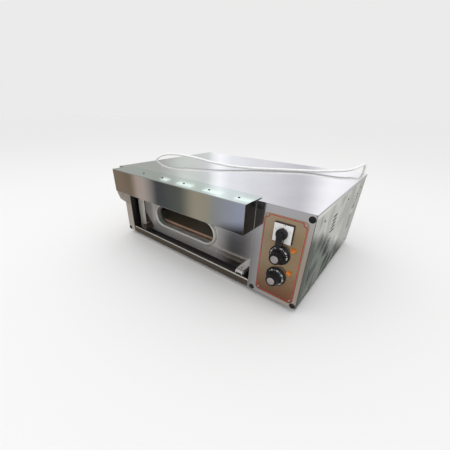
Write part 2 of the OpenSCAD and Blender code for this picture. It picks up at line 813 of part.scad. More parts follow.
// A dial knob: a sloped skirt for the numbers and a fluted grip with a cap seat
module knob(z) {
    tall = knob_h - knob_gap;
    flutes = 18;
    flute_d = 2.4;
    flute_r = grip_d / 2 + 0.5;
    top_h = 2;
    top_d = grip_d - 3;
    rim = 2;
    neck_r = grip_d / 2 + 3;
    neck_h = skirt_t + 4;
    translate([controls_x, fascia_y - knob_gap, z]) rotate([90, 0, 0])
        difference() {
            union() {
                rotate_extrude()
                    polygon([[0, 0], [knob_d / 2, 0], [knob_d / 2, rim], [knob_d / 2 - rim, skirt_t - 1],
                             [neck_r, skirt_t + 1], [flute_r, neck_h], [0, neck_h]]);
                linear_extrude(tall - top_h) difference() {
                    circle(d = grip_d);
                    for (i = [0:flutes - 1])
                        rotate(i * 360 / flutes) translate([flute_r, 0]) circle(d = flute_d, $fn = 16);
                }
                cylinder(d = top_d, h = tall);
            }
            translate([0, 0, tall - cap_seat]) cylinder(d = cap_d + 2 * seam, h = cap_seat + cut);
            translate([0, 0, -cut])
                cylinder(d = spindle_d + 2 * spindle_play, h = knob_h / 2 - knob_gap + spindle_play + cut);
        }
}

module upper_knob() color("black") oven() knob(upper_knob_z);
module lower_knob() color("black") oven() knob(lower_knob_z);

// A bright disc set in the end of a knob
module knob_cap(z)
    translate([controls_x, fascia_y - knob_h + cap_seat, z]) rotate([90, 0, 0])
        rotate_extrude() {
            edge = 0.8;
            tall = cap_seat + 0.5;
            polygon([[0, 0], [cap_d / 2, 0], [cap_d / 2, tall - edge], [cap_d / 2 - edge, tall], [0, tall]]);
        }

module upper_knob_cap() color("silver") oven() knob_cap(upper_knob_z);
module lower_knob_cap() color("silver") oven() knob_cap(lower_knob_z);

// An indicator lamp: a cut lens on a barrel through the panel
module lamp(z) {
    x = controls_x + lamp_dx;
    lens_h = 3.5;
    lens_rim_h = 2.5;
    lens_top_d = 0.7 * lamp_d;
    flange_h = 1;
    bar_y(fascia_y, sheet + cut, x, z + lamp_dz, lamp_hole_d);
    bar_y(sheet, sheet + lamp_body_l, x, z + lamp_dz, lamp_body_d);
    bar_y(fascia_y - flange_h, fascia_y, x, z + lamp_dz, lamp_d + flange_h);
    translate([x, fascia_y - flange_h, z + lamp_dz]) rotate([90, 0, 0]) {
        cylinder(d = lamp_d, h = lens_rim_h, $fn = 8);
        cylinder(d = lens_top_d, h = lens_h, $fn = 8);
    }
}

module upper_lamp() color("orange") oven() lamp(upper_knob_z);
module lower_lamp() color("orange") oven() lamp(lower_knob_z);

// The mains terminals inside the control box
module terminal_block() color("ivory") oven()
    difference() {
        ways = 5;
        way_w = 12.4;
        deep = 24;
        tall = 20;
        well_d = 6;
        well_h = 12;
        from_side = 24;
        from_rear = 80;
        x0 = inner_x - from_side - ways * way_w;
        y0 = rear_y - from_rear;
        top = sheet + tall;
        block([x0, y0, sheet], [x0 + ways * way_w, y0 + deep, top]);
        for (i = [0:ways - 1])
            bar_z(top - well_h, top + cut, x0 + (i + 0.5) * way_w, y0 + deep / 2, well_d);
    }

// The door

// The fixed eye that a hinge pin turns in, on a post from the base pan
module hinge_eyes() color("gray") oven()
    for (x = arm_xs)
        difference() {
            slice(x - eye_w / 2, x + eye_w / 2) {
                translate([axis_y, axis_z]) circle(r = eye_r);
                translate([axis_y - eye_post / 2, sheet]) square([eye_post, axis_z - sheet]);
            }
            bar_x(x - eye_w, x + eye_w, axis_y, axis_z, pin_d + 2 * pin_play);
        }

// A folded arm from the pin to the door, with a sloped foot on the door's face
module hinge_arms() color("lightgray") oven()
    for (i = [0, 1]) {
        x = arm_xs[i];
        out = i == 0 ? -1 : 1;
        difference() {
            slice(x - arm_w / 2, x + arm_w / 2) {
                translate([axis_y, axis_z]) circle(r = arm_r);
                translate([axis_y, axis_z]) square([recess - axis_y, arm_r]);
            }
            slice(x - arm_w / 2 + arm_t, x + arm_w / 2 - arm_t) {
                translate([axis_y, axis_z]) circle(r = arm_r - arm_t);
                translate([axis_y, axis_z - arm_r]) square([recess - axis_y - arm_t, 2 * arm_r - arm_t]);
                translate([axis_y - arm_r - cut, axis_z - arm_r - cut])
                    square([arm_r + 2 * cut, arm_r + arm_mouth + cut]);
            }
            bar_x(x - arm_w, x + arm_w, axis_y, axis_z, pin_d);
            bar_z(arm_z1 - arm_t - cut, arm_z1 + cut, x, axis_y + arm_hole_in, arm_hole_d);
        }
        foot_x = x + out * (arm_inset - arm_foot_in);
        plate(recess - arm_t, recess)
            polygon([[x - out * arm_w / 2, arm_z1], [foot_x, arm_z1], [foot_x, arm_z1 + arm_foot_h]]);
    }

module hinge_pins() color("silver") oven()
    for (x = arm_xs) {
        bar_x(x - arm_w / 2, x + arm_w / 2, axis_y, axis_z, pin_d);
        for (head = [x - arm_w / 2 - pin_head_t, x + arm_w / 2])
            bar_x(head, head + pin_head_t, axis_y, axis_z, pin_head_d);
    }

// The window's outline, set in place
module window_shape(l, h) translate([window_x, window_z]) stadium(l, h);

// The outer skin, folded back at its sides and top
module door_skin() color("silver") oven() {
    mid = sheet / 2;
    back = door_y1 - sheet - seam;
    face = recess + mid;
    top_bend = door_z1 - bend_r - mid;
    difference() {
        union() {
            translate([0, 0, tray_z0]) linear_extrude(top_bend - tray_z0)
                folded([[door_l + mid, back], [door_l + mid, face], [door_r - mid, face],
                        [door_r - mid, back]]);
            slice(door_l + bend_r + sheet, door_r - bend_r - sheet)
                folded([[face, top_bend - 1], [face, door_z1 - mid], [back, door_z1 - mid]]);
        }
        plate(recess - cut, recess + sheet + cut) window_shape(sleeve_l + 2 * seam, sleeve_h + 2 * seam);
    }
    slice(door_l + bend_r + sheet, door_r - bend_r - sheet)
        folded([[face, tray_z0 + 1], [face, door_z0 + mid], [recess + hem_d, door_z0 + mid]]);
}

// The inner sheet that closes the chamber, folded forward at its lower edge, with a collar
// that holds the glass
module door_liner() color("silver") oven() {
    mid = sheet / 2;
    difference() {
        union() {
            block([door_l, door_y1 - sheet, tray_z0 + 2 * sheet], [door_r, door_y1, door_z1]);
            plate(collar_y0, door_y1) window_shape(sleeve_l, sleeve_h);
        }
        plate(collar_y0 - cut, door_y1 + cut) window_shape(window_l, window_h);
    }
    slice(door_l + tray_fit + bend_r, door_r - tray_fit - bend_r)
        folded([[recess + tray_fit, tray_z0 + mid], [door_y1 - mid, tray_z0 + mid],
                [door_y1 - mid, tray_z0 + 2 * sheet + 1]]);
}

// Mineral wool between the sheets, cut out round the window
module door_insulation() color("khaki") oven()
    difference() {
        bend_fit = tray_fit + bend_r;
        block([door_l + bend_fit, recess + tray_fit, tray_z0 + bend_fit],
              [door_r - bend_fit, door_y1 - tray_fit, door_z1 - bend_fit]);
        plate(recess, door_y1) window_shape(glass_l + 2 * seam, glass_h + 2 * seam);
    }

// A bright ring: a rolled bead on the door's face and a sleeve back to the glass
module window_bezel() color("whitesmoke") oven()
    difference() {
        union() {
            intersection() {
                translate([window_x, recess - bead_out, window_z]) bead_ring();
                block([door_l, 0, 0], [door_r, recess, door_z1]);
            }
            plate(recess - bead_out, glass_y0) window_shape(sleeve_l, sleeve_h);
        }
        plate(recess - bead_out - bead_d, glass_y0 + cut) window_shape(window_l, window_h);
    }

// A round bead along the window's outline
module bead_ring() {
    run = (window_l - window_h) / 2;
    path_r = window_r + bead_d / 2;
    for (s = [-1, 1]) {
        bar_x(-run, run, 0, s * path_r, bead_d);
        translate([s * run, 0, 0]) rotate([90, 0, 0]) rotate(s * 90 - 180)
            rotate_extrude(angle = 180) translate([path_r, 0]) circle(d = bead_d);
    }
}

module window_glass() color("darkolivegreen") oven()
    plate(glass_y0, glass_y1) window_shape(glass_l, glass_h);

module window_gasket() color("white") oven()
    difference() {
        plate(glass_y1, collar_y0) window_shape(glass_l, glass_h);
        plate(glass_y1 - cut, collar_y0 + cut) window_shape(window_l, window_h);
    }

// The hood: top and front folded from one sheet, with a hem under the front
module hood() color("lightgray") oven() {
    mid = sheet / 2;
    front = mid - hood_out;
    slice(hood_l, hood_r)
        folded([[hood_back, hood_z1 - mid], [front, hood_z1 - mid], [front, hood_z0 + mid],
                [hood_hem - hood_out, hood_z0 + mid]]);
}

// The left end: a plate whose front edge sweeps back to the body
module hood_left_end() color("gray") oven()
    difference() {
        front = sheet - hood_out;
        top = hood_z1 - sheet;
        steps = 6;
        slice(hood_l, hood_l + sheet)
            polygon([[front + bend_r, top], [front, top - bend_r],
                     for (a = [0:wing_turn / steps:wing_turn])
                         [front + wing_r * (1 - cos(a)), wing_bend_z - wing_r * sin(a)],
                     [hood_end_y - wing_tip, wing_z + wing_tip_rise], [hood_end_y, wing_z],
                     [hood_end_y, top]]);
        block([hood_l - cut, front - cut, hood_z0 - seam],
              [hood_l + sheet + cut, hood_hem - hood_out + seam, hood_z0 + sheet + bend_r]);
    }

module hood_right_end() color("gray") oven() {
    front = sheet - hood_out;
    top = hood_z1 - sheet;
    low = hood_z0 + sheet;
    slice(hood_r - sheet, hood_r)
        polygon([[front + bend_r, top], [front, top - bend_r], [front, low + bend_r], [front + bend_r, low],
                 [hood_end_y, low], [hood_end_y, top]]);
}

// A stepped strip that carries the hood on the door, clear of the top cover
module hood_hanger() color("gray") oven() {
    mid = sheet / 2;
    leg_y = recess - mid;
    step_z = door_z1 + mid;
    rise_y = riser_y + mid;
    seat_z = hood_z1 - sheet - mid;
    slice(door_l + hanger_in, door_r - hanger_in)
        folded([[leg_y, door_z1 - hanger_flange], [leg_y, step_z], [rise_y, step_z], [rise_y, seat_z],
                [rise_y - hanger_top_d, seat_z]]);
}

module hood_screws() color("gray") oven()
    for (i = [0:hood_screw_n - 1])
        translate([hood_r - hood_screw_in - i * hood_screw_pitch, hood_screw_y, hood_z1])
            rotate([-90, 0, 0]) dome_y(0, 0, 0, screw_d, head_h);

// The cord

// Directions along a route, and a steady side direction across it
function heading(p, i) =
    let (a = p[max(i - 1, 0)], b = p[min(i + 1, len(p) - 1)]) (b - a) / norm(b - a);
function carry(u, t) = unit(u - (u * t) * t);
function frames(p, i = 0, u = [1, 0, 0]) =
    i == len(p) ? [] :
    let (t = heading(p, i), side = carry(u, t))
        concat([[p[i], side, cross(t, side)]], frames(p, i + 1, side));

// A tube of one diameter along a route
module tube(p, d, sides, first) {
    rings = frames(p, 0, first);
    n = len(p);
    points = [for (r = rings, k = [0:sides - 1])
        r[0] + d / 2 * (cos(360 * k / sides) * r[1] + sin(360 * k / sides) * r[2])];
    function at(i, k) = i * sides + k % sides;
    walls = [for (i = [0:n - 2], k = [0:sides - 1])
        each [[at(i, k), at(i, k + 1), at(i + 1, k + 1)], [at(i, k), at(i + 1, k + 1), at(i + 1, k)]]];
    ends = [for (k = [1:sides - 2]) each [[at(0, 0), at(0, k + 1), at(0, k)],
                                          [at(n - 1, 0), at(n - 1, k), at(n - 1, k + 1)]]];
    polyhedron(points, [for (f = concat(walls, ends)) [f[0], f[2], f[1]]]);
}

// A smooth curve through the route's points, with extra rings between them
function between(a, b, c, d, t) =
    0.5 * (2 * b + (c - a) * t + (2 * a - 5 * b + 4 * c - d) * t * t + (3 * b - a - 3 * c + d) * t * t * t);
function smooth(p, steps) = [
    for (i = [0:len(p) - 2], s = [0:steps - 1])
        between(p[max(i - 1, 0)], p[i], p[i + 1], p[min(i + 2, len(p) - 1)], s / steps),
    p[len(p) - 1]
];

// The coil winds in on the lower layer and out again on the upper one
function climb(t) = let (s = min(max((t - coil_turns) * 2, 0), 1)) s * s * (3 - 2 * s);
function coil_radius(t) =
    t < coil_turns ? coil_r0 - coil_step * t :
    t < coil_turns + 0.5 ? coil_r0 - coil_step * coil_turns :
    coil_r0 - coil_step * coil_turns + coil_step * (t - coil_turns - 0.5);
function coil_at(t) = [
    coil_x + coil_radius(t) * cos(360 * t),
    coil_y + coil_radius(t) * sin(360 * t),
    cord_z + coil_rise * climb(t)
];
coil_count = coil_all * coil_rings;
coil_turn_points = [for (i = [0:coil_count]) coil_at(i / coil_rings)];
coil_end = coil_at(coil_all);
coil_first = [coil_start[0], coil_start[1], cord_z];
coil_last = coil_end - [0, cord_d, 0];
coil_route = concat([coil_first], coil_turn_points, [coil_last]);
coil_apart = min([for (i = [0:coil_count - 1], j = [i + coil_rings / 2:1:coil_count])
    norm(coil_turn_points[i] - coil_turn_points[j])]) - cord_d;
lead_curve = smooth(lead_route, 2);
function route_length(p, i = 1) =
    i == len(p) ? 0 : norm(p[i] - p[i - 1]) + route_length(p, i + 1);
echo("coil's least gap to itself", coil_apart);
echo("cord length", route_length(lead_curve) + route_length(coil_route));

// A nut and a tapered sleeve on the rear panel
module cord_gland() color("black") oven()
    translate([gland_x, rear_y, gland_z]) rotate([-90, 0, 0])
        rotate_extrude() {
            inside = -sheet - 4;
            neck_r = gland_hole_d / 2 - hole_fit;
            nut_r = gland_hole_d / 2 + 4;
            nut_h = 8;
            end_r = cord_d / 2 + sleeve_wall;
            polygon([[0, inside], [neck_r, inside], [neck_r, 0], [nut_r, 0], [nut_r, nut_h],
                     [neck_r, nut_h + 1], [end_r, gland_l], [0, gland_l]]);
        }

module power_cord() color("white") oven() tube(lead_curve, cord_d, tube_sides, [1, 0, 0]);

module cord_coil() color("white") oven() tube(coil_route, cord_d, coil_sides, [1, 0, 0]);

// A strap round the coil's turns, on the side towards the front
module cord_tie() color("black") oven() {
    r = coil_radius(coil_turns - 0.25);
    high = cord_d + coil_rise + 2 * soft_fit;
    wide = cord_d + 2 * tie_fit + coil_step * (coil_turns - 1);
    mid = coil_y - r - coil_step * (coil_turns - 1) / 2;
    slice(coil_x - tie_w / 2, coil_x + tie_w / 2) difference() {
        translate([mid - wide / 2 - tie_t, floor_z]) square([wide + 2 * tie_t, high + 2 * tie_t]);
        translate([mid - wide / 2, floor_z + tie_t]) square([wide, high]);
    }
}

// A moulded plug with two round pins, lying at the end of the coil
module plug() color("white") oven() translate(coil_last) rotate([90, 0, 0]) {
    half_h = coil_end[2] - floor_z;
    rotate_extrude()
        polygon([[0, 0], [cord_d / 2 + sleeve_wall, 0], [plug_neck_r, plug_neck_l], [0, plug_neck_l]]);
    translate([0, 0, plug_neck_l]) linear_extrude(plug_l) intersection() {
        circle(d = plug_w);
        square([plug_w, 2 * (half_h - seam)], center = true);
    }
    for (s = [-1, 1]) translate([s * plug_pin_gap / 2, 0, plug_neck_l + plug_l])
        cylinder(d = plug_pin_d, h = plug_pin_l);
}

base_pan();
left_side_panel();
right_side_panel();
rear_panel();
top_cover();
control_panel();
control_box_wall();
face_frame();
feet();
casing_screws();
panel_caps();
chamber_shell();
chamber_floor();
chamber_back();
insulation_wrap();
insulation_rear();
insulation_bottom();
stone_deck();
stone_rails();
lower_heater();
upper_heater();
heater_supports();
fascia_plate();
fascia_rivets();
switch_body();
switch_base();
switch_plate();
switch_spindle();
switch_handle();
upper_thermostat();
lower_thermostat();
upper_spindle();
lower_spindle();
upper_knob();
lower_knob();
upper_knob_cap();
lower_knob_cap();
upper_lamp();
lower_lamp();
terminal_block();
hinge_eyes();
hinge_arms();
hinge_pins();
door_skin();
door_liner();
door_insulation();
window_bezel();
window_glass();
window_gasket();
hood();
hood_left_end();
hood_right_end();
hood_hanger();
hood_screws();
cord_gland();
power_cord();
cord_coil();
cord_tie();
plug();
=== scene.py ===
import json
import math

import bmesh
import bpy
from mathutils import Matrix, Vector


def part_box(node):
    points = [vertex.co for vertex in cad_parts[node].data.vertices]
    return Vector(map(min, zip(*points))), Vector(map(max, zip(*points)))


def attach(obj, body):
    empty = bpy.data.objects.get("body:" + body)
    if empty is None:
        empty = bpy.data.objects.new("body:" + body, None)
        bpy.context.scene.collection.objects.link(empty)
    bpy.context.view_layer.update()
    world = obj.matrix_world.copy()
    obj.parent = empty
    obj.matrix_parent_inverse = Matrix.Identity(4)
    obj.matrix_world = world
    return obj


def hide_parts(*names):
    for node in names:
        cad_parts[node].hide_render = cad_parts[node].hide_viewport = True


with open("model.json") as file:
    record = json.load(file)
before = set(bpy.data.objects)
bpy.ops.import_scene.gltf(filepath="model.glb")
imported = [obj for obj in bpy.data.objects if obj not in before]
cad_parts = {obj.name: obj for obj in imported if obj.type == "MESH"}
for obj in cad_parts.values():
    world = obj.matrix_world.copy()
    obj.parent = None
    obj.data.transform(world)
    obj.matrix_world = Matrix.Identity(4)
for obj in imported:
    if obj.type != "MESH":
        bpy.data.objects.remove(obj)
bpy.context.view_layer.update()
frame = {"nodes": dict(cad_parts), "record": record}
RECORD = frame["record"]
SCENE = bpy.context.scene
SCENE.view_settings.view_transform = "Standard"

MM = 0.001
X, Y, Z = Vector((1, 0, 0)), Vector((0, 1, 0)), Vector((0, 0, 1))


def low(node):
    return Vector(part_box(node)[0])


def high(node):
    return Vector(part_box(node)[1])


def middle(node):
    return (low(node) + high(node)) / 2


# The front plane and the underside, from which the part's own sizes count
FRONT_Y = low("left_side_panel").y
UNDERSIDE_Z = low("base_pan").z


# Camera

CAMERA_AT = Vector((0.49082, -0.72183, 0.45790))
CAMERA_AZIMUTH = math.radians(39.43)
CAMERA_HEIGHT = math.radians(28.64)
CAMERA_ROLL = math.radians(0.98)
PHOTO_PX = 450
FOCAL_PX = 233.15
CENTRE_PX = (212.36, 241.68)
SENSOR = 36


def make_camera():
    back = Vector((
        math.sin(CAMERA_AZIMUTH) * math.cos(CAMERA_HEIGHT),
        -math.cos(CAMERA_AZIMUTH) * math.cos(CAMERA_HEIGHT),
        math.sin(CAMERA_HEIGHT),
    ))
    level = (-back).cross(Z).normalized()
    upright = level.cross(-back)
    right = math.cos(CAMERA_ROLL) * level + math.sin(CAMERA_ROLL) * upright
    up = math.cos(CAMERA_ROLL) * upright - math.sin(CAMERA_ROLL) * level
    lens = bpy.data.cameras.new("camera")
    lens.sensor_width = SENSOR
    lens.lens = FOCAL_PX / PHOTO_PX * SENSOR
    lens.shift_x = (PHOTO_PX / 2 - CENTRE_PX[0]) / PHOTO_PX
    lens.shift_y = (CENTRE_PX[1] - PHOTO_PX / 2) / PHOTO_PX
    lens.clip_start = 0.01
    camera = bpy.data.objects.new("camera", lens)
    turn = Matrix((right, up, back)).transposed().to_4x4()
    camera.matrix_world = Matrix.Translation(CAMERA_AT) @ turn
    SCENE.collection.objects.link(camera)
    SCENE.camera = camera


# Shader helpers

def add(tree, kind, inputs=None, **settings):
    """A new node. An input is a number, a colour, a vector or another node's output."""
    made = tree.nodes.new("ShaderNode" + kind)
    for key, value in settings.items():
        setattr(made, key, value)
    for key, value in (inputs or {}).items():
        socket = made.inputs[key]
        if isinstance(value, bpy.types.NodeSocket):
            tree.links.new(value, socket)
        else:
            socket.default_value = value
    return made


def rgba(color):
    return (*color, 1.0)


def surface(name, color, rough, metal=0.0, **sockets):
    """A material with one principled shader. Further sockets are given by name."""
    made = bpy.data.materials.new(name)
    made.use_nodes = True
    tree = made.node_tree
    shader = tree.nodes["Principled BSDF"]
    shader.inputs["Base Color"].default_value = rgba(color)
    shader.inputs["Roughness"].default_value = rough
    shader.inputs["Metallic"].default_value = metal
    for key, value in sockets.items():
        shader.inputs[key.replace("_", " ")].default_value = value
    return made, tree, shader


def noise(tree, stretch, detail=3.0):
    """Noise over the object's own place, with so many waves to the metre along X, Y and Z."""
    place = add(tree, "TexCoord").outputs["Object"]
    scaled = add(tree, "Mapping", {"Vector": place, "Scale": stretch})
    made = add(tree, "TexNoise", {"Vector": scaled.outputs["Vector"], "Scale": 1.0, "Detail": detail})
    return made.outputs["Fac"]


def between(tree, fac, low_value, high_value, low_fac=0.3, high_fac=0.7):
    """A number that goes from one value to another as fac rises."""
    made = add(tree, "MapRange", {
        "Value": fac, "From Min": low_fac, "From Max": high_fac, "To Min": low_value, "To Max": high_value})
    return made.outputs["Result"]


def ramp(tree, fac, stops, mode="EASE"):
    """A colour that follows fac through (place, colour) stops."""
    made = add(tree, "ValToRGB", {"Fac": fac})
    made.color_ramp.interpolation = mode
    band = made.color_ramp.elements
    while len(band) < len(stops):
        band.new(0.5)
    for element, (place, color) in zip(band, stops):
        element.position = place
        element.color = rgba(color)
    return made.outputs["Color"]


def blend(tree, fac, first, second):
    """The first colour where fac is 0, and the second where it is 1."""
    made = add(tree, "Mix", {0: fac, 6: first, 7: second}, data_type="RGBA")
    return made.outputs[2]


def mottle(tree, shader, fac, dark, light):
    """The surface's colour, from dark to light with fac."""
    tree.links.new(ramp(tree, fac, [(0.3, dark), (0.7, light)]), shader.inputs["Base Color"])


def bump(tree, shader, height, strength, depth):
    made = add(tree, "Bump", {"Height": height, "Strength": strength, "Distance": depth})
    tree.links.new(made.outputs["Normal"], shader.inputs["Normal"])


# Materials

ALONG = {"X": (5, 900, 900), "Y": (900, 5, 900), "Z": (900, 900, 5)}
PATCH_WAVES = (7, 7, 7)
DENT_WAVES = (9, 9, 9)
CLOUD_WAVES = (60, 60, 60)
MOULD_WAVES = (25, 25, 25)
BRUSH_DEPTH = 0.0001
# Near-black, painted shade for recesses
PAINTED_SHADE_BLACK = (0.06, 0.055, 0.055)
FILM_METAL = 0.72


def brushed(name, dark, light, rough, along="X", smear="X", smear_amount=0.6, wave=0.0, metal=1.0):
    """Steel with fine brush lines along one axis. Its reflections smear round the smear axis,
    and wave is the depth in metres of the sheet's slow dents."""
    made, tree, shader = surface(name, light, rough, metal, Anisotropic=smear_amount)
    lines = noise(tree, ALONG[along], 2.0)
    patches = noise(tree, PATCH_WAVES)
    mottle(tree, shader, patches, dark, light)
    tree.links.new(between(tree, lines, rough - 0.02, rough + 0.02), shader.inputs["Roughness"])
    tangent = add(tree, "Tangent", direction_type="RADIAL", axis=smear)
    tree.links.new(tangent.outputs["Tangent"], shader.inputs["Tangent"])
    if wave:
        bump(tree, shader, noise(tree, DENT_WAVES, 1.0), 1.0, wave)
    else:
        bump(tree, shader, lines, 0.02, BRUSH_DEPTH)
    return made


def tinted(made, what, axis, plain_at, tinted_at, tint=PAINTED_SHADE_BLACK):
    """The same finish, which takes on another colour as its Position, or the piece's own Normal,
    goes from one value to another along an axis."""
    tree = made.node_tree
    socket = tree.nodes["Principled BSDF"].inputs["Base Color"]
    plain = socket.links[0].from_socket
    source = "TexCoord" if what == "Normal" else "NewGeometry"
    place = add(tree, "SeparateXYZ", {"Vector": add(tree, source).outputs[what]})
    share = between(tree, place.outputs[axis], 0.0, 1.0, plain_at, tinted_at)
    tree.links.new(blend(tree, share, plain, rgba(tint)), socket)
    return made


def hazed(made, dull_at, clear_at):
    """The same steel under a thin dull film of use, which thins out along X."""
    tree = made.node_tree
    place = add(tree, "SeparateXYZ", {"Vector": add(tree, "NewGeometry").outputs["Position"]})
    bare = between(tree, place.outputs["X"], FILM_METAL, 1.0, dull_at, clear_at)
    tree.links.new(bare, tree.nodes["Principled BSDF"].inputs["Metallic"])
    return made


def plated(name, dark, light, rough, metal=1.0):
    """Plain plated or dull steel with faint cloudy patches."""
    made, tree, shader = surface(name, light, rough, metal)
    clouds = noise(tree, CLOUD_WAVES, 4.0)
    mottle(tree, shader, clouds, dark, light)
    tree.links.new(between(tree, clouds, rough - 0.06, rough + 0.08), shader.inputs["Roughness"])
    return made


def moulded(name, dark, light, rough, grain=900, depth=0.00004, **sockets):
    """Plastic or rubber with a fine moulded grain."""
    made, tree, shader = surface(name, light, rough, **sockets)
    mottle(tree, shader, noise(tree, MOULD_WAVES), dark, light)
    skin = noise(tree, (grain, grain, grain), 2.0)
    tree.links.new(between(tree, skin, rough - 0.05, rough + 0.05), shader.inputs["Roughness"])
    bump(tree, shader, skin, 0.25, depth)
    return made


def fibrous(name, dark, light, waves, depth):
    """Mineral wool or woven tape."""
    made, tree, shader = surface(name, light, 0.95, Sheen_Weight=0.2)
    strands = noise(tree, waves, 6.0)
    mottle(tree, shader, strands, dark, light)
    bump(tree, shader, strands, 0.8, depth)
    return made


def fired_stone():
    """Stone gone brown with baking, with a painted highlight: a pale band along its upper front edge stands
    in for light on that edge.
    """
    dark, light, pale = (0.20, 0.13, 0.08), (0.29, 0.19, 0.12), (1.0, 0.60, 0.42)
    highlight_back, highlight_fade_back = 2 * MM, 7 * MM
    highlight_down, highlight_fade_down = 4 * MM, 7 * MM
    made, tree, shader = surface("stone", light, 0.9)
    grit = noise(tree, (420, 420, 420), 5.0)
    baked = ramp(tree, grit, [(0.3, dark), (0.7, light)])
    edge_y, edge_z = low("stone_deck").y, high("stone_deck").z
    place = add(tree, "SeparateXYZ", {"Vector": add(tree, "NewGeometry").outputs["Position"]})
    forward = between(tree, place.outputs["Y"], 1.0, 0.0, edge_y + highlight_back, edge_y + highlight_fade_back)
    upward = between(tree, place.outputs["Z"], 0.0, 1.0, edge_z - highlight_fade_down, edge_z - highlight_down)
    # A painted highlight: the pale band over the top and front of the upper front edge stands in for light
    # on it
    painted_highlight = add(tree, "Math", {0: forward, 1: upward}, operation="MULTIPLY").outputs[0]
    tree.links.new(blend(tree, painted_highlight, baked, rgba(pale)), shader.inputs["Base Color"])
    bump(tree, shader, grit, 0.5, 0.0004)
    return made


def dim_glass():
    """Oven glass, darkened by use: some light passes straight through."""
    made, tree, shader = surface(
        "window_glass", (0.02, 0.022, 0.012), 0.05, IOR=1.5, Alpha=0.2, Coat_Weight=0.6)
    smudges = noise(tree, (14, 14, 30), 4.0)
    tree.links.new(between(tree, smudges, 0.14, 0.26), shader.inputs["Alpha"])
    return made


def amber_lens():
    """A lamp's cover of clear orange plastic."""
    made, tree, shader = surface(
        "amber_lens", (0.85, 0.24, 0.02), 0.12, IOR=1.49, Transmission_Weight=0.3, Coat_Weight=0.4)
    glow = noise(tree, (260, 260, 260), 2.0)
    mottle(tree, shader, glow, (0.75, 0.15, 0.01), (0.92, 0.30, 0.03))
    return made


STEEL_DARK, STEEL_LIGHT = (0.70, 0.70, 0.70), (0.78, 0.78, 0.77)
BLACK_DARK, BLACK_LIGHT = (0.012, 0.012, 0.013), (0.022, 0.022, 0.024)
WHITE_DARK, WHITE_LIGHT = (0.74, 0.74, 0.73), (0.82, 0.82, 0.81)

# The fascia is painted darker and browner from below its middle to its lower edge: painted shade for the
# knobs' shadow and the dark ground it mirrors there
FASCIA_FILM = brushed(
    "fascia_film", (0.42, 0.32, 0.20), (0.50, 0.39, 0.26), 0.06, "Z", "Z", 0.2, metal=0.75)
FASCIA_SHADE_FULL_Z = low("fascia_plate").z
FASCIA_SHADE_FROM_Z = FASCIA_SHADE_FULL_Z + 0.45 * (high("fascia_plate").z - FASCIA_SHADE_FULL_Z)

FINISHES = {
    "stainless": brushed("stainless", STEEL_DARK, STEEL_LIGHT, 0.14),
    "zinc_steel": plated("zinc_steel", (0.46, 0.47, 0.48), (0.60, 0.61, 0.62), 0.34),
    "chamber_steel": plated("chamber_steel", (0.20, 0.19, 0.17), (0.32, 0.30, 0.27), 0.5),
    "heater_steel": plated("heater_steel", (0.10, 0.09, 0.09), (0.20, 0.18, 0.17), 0.5),
    "bright_trim": plated("bright_trim", (0.74, 0.75, 0.76), (0.82, 0.82, 0.83), 0.12),
    "black_rubber": moulded("black_rubber", BLACK_DARK, BLACK_LIGHT, 0.55, Specular_IOR_Level=0.25),
    "mineral_wool": fibrous("mineral_wool", (0.44, 0.38, 0.20), (0.66, 0.60, 0.38), (90, 90, 600), 0.0015),
    "stone": fired_stone(),
    # Painted shade toward the fascia's lower edge
    "fascia_film": tinted(FASCIA_FILM, "Position", "Z", FASCIA_SHADE_FROM_Z, FASCIA_SHADE_FULL_Z, (0.24, 0.11, 0.06)),
    "black_plastic": moulded("black_plastic", BLACK_DARK, BLACK_LIGHT, 0.2, Specular_IOR_Level=0.25),
    "grey_plastic": moulded("grey_plastic", (0.20, 0.20, 0.21), (0.28, 0.28, 0.29), 0.5),
    "white_plastic": moulded("white_plastic", WHITE_DARK, WHITE_LIGHT, 0.35),
    "amber_lens": amber_lens(),
    "window_glass": dim_glass(),
    "window_seal": fibrous("window_seal", (0.50, 0.50, 0.48), (0.68, 0.68, 0.65), (700, 700, 700), 0.0005),
    "cord_sheath": moulded("cord_sheath", (0.91, 0.91, 0.90), (0.96, 0.96, 0.95), 0.42),
}
# Where painted shade and haze begin and end, in metres
DOOR_EDGE_X = low("door_skin").x
EDGE_UNSHADED, EDGE_SHADED = 10.4 * MM, 2.4 * MM
HAZE_FROM_X, HAZE_TO_X = 0.07, 0.13
LIP_UNSHADED, LIP_SHADED = 5.4 * MM, 6.6 * MM
ARM_UNSHADED_X, ARM_SHADED_X = -0.1, -0.2
# How much of a normal lies along an axis, or against it, where the colour for such faces sets in
ALONG_AXIS, AGAINST_AXIS = (0.3, 0.7), (-0.3, -0.7)

HOOD_STEEL = brushed("hood_steel", (0.76, 0.76, 0.76), (0.82, 0.82, 0.81), 0.05, smear_amount=0.3)
# The strip, the face frame and the hood's left end get warm, mostly dull copies of the steel: painted light
# and a painted brown reflection, so that they read lit at that end
STRIP_STEEL = brushed("strip_steel", (0.78, 0.73, 0.67), (0.84, 0.79, 0.73), 0.32, metal=0.75)
FRAME_STEEL = brushed("frame_steel", (0.90, 0.85, 0.78), (0.95, 0.90, 0.84), 0.4, metal=0.1)
# The pan's near-white colour shows only near the lip's upper front edge, as a painted highlight; its front
# faces are painted dark brown, a painted reflection of the dark ground
PAN_STEEL = tinted(
    brushed("pan_steel", (0.90, 0.86, 0.78), (0.96, 0.92, 0.84), 0.3, metal=0.15),
    "Normal", "Y", *AGAINST_AXIS, (0.066, 0.053, 0.039))
ARM_STEEL = brushed("arm_steel", (0.66, 0.65, 0.63), (0.74, 0.73, 0.71), 0.25, metal=0.7)
DOOR_STEEL = hazed(
    brushed("door_steel", (0.74, 0.72, 0.69), (0.82, 0.80, 0.77), 0.15, smear_amount=0.5),
    HAZE_FROM_X, HAZE_TO_X)
CAP_METAL = plated("cap_metal", (0.80, 0.80, 0.80), (0.90, 0.90, 0.90), 0.3)

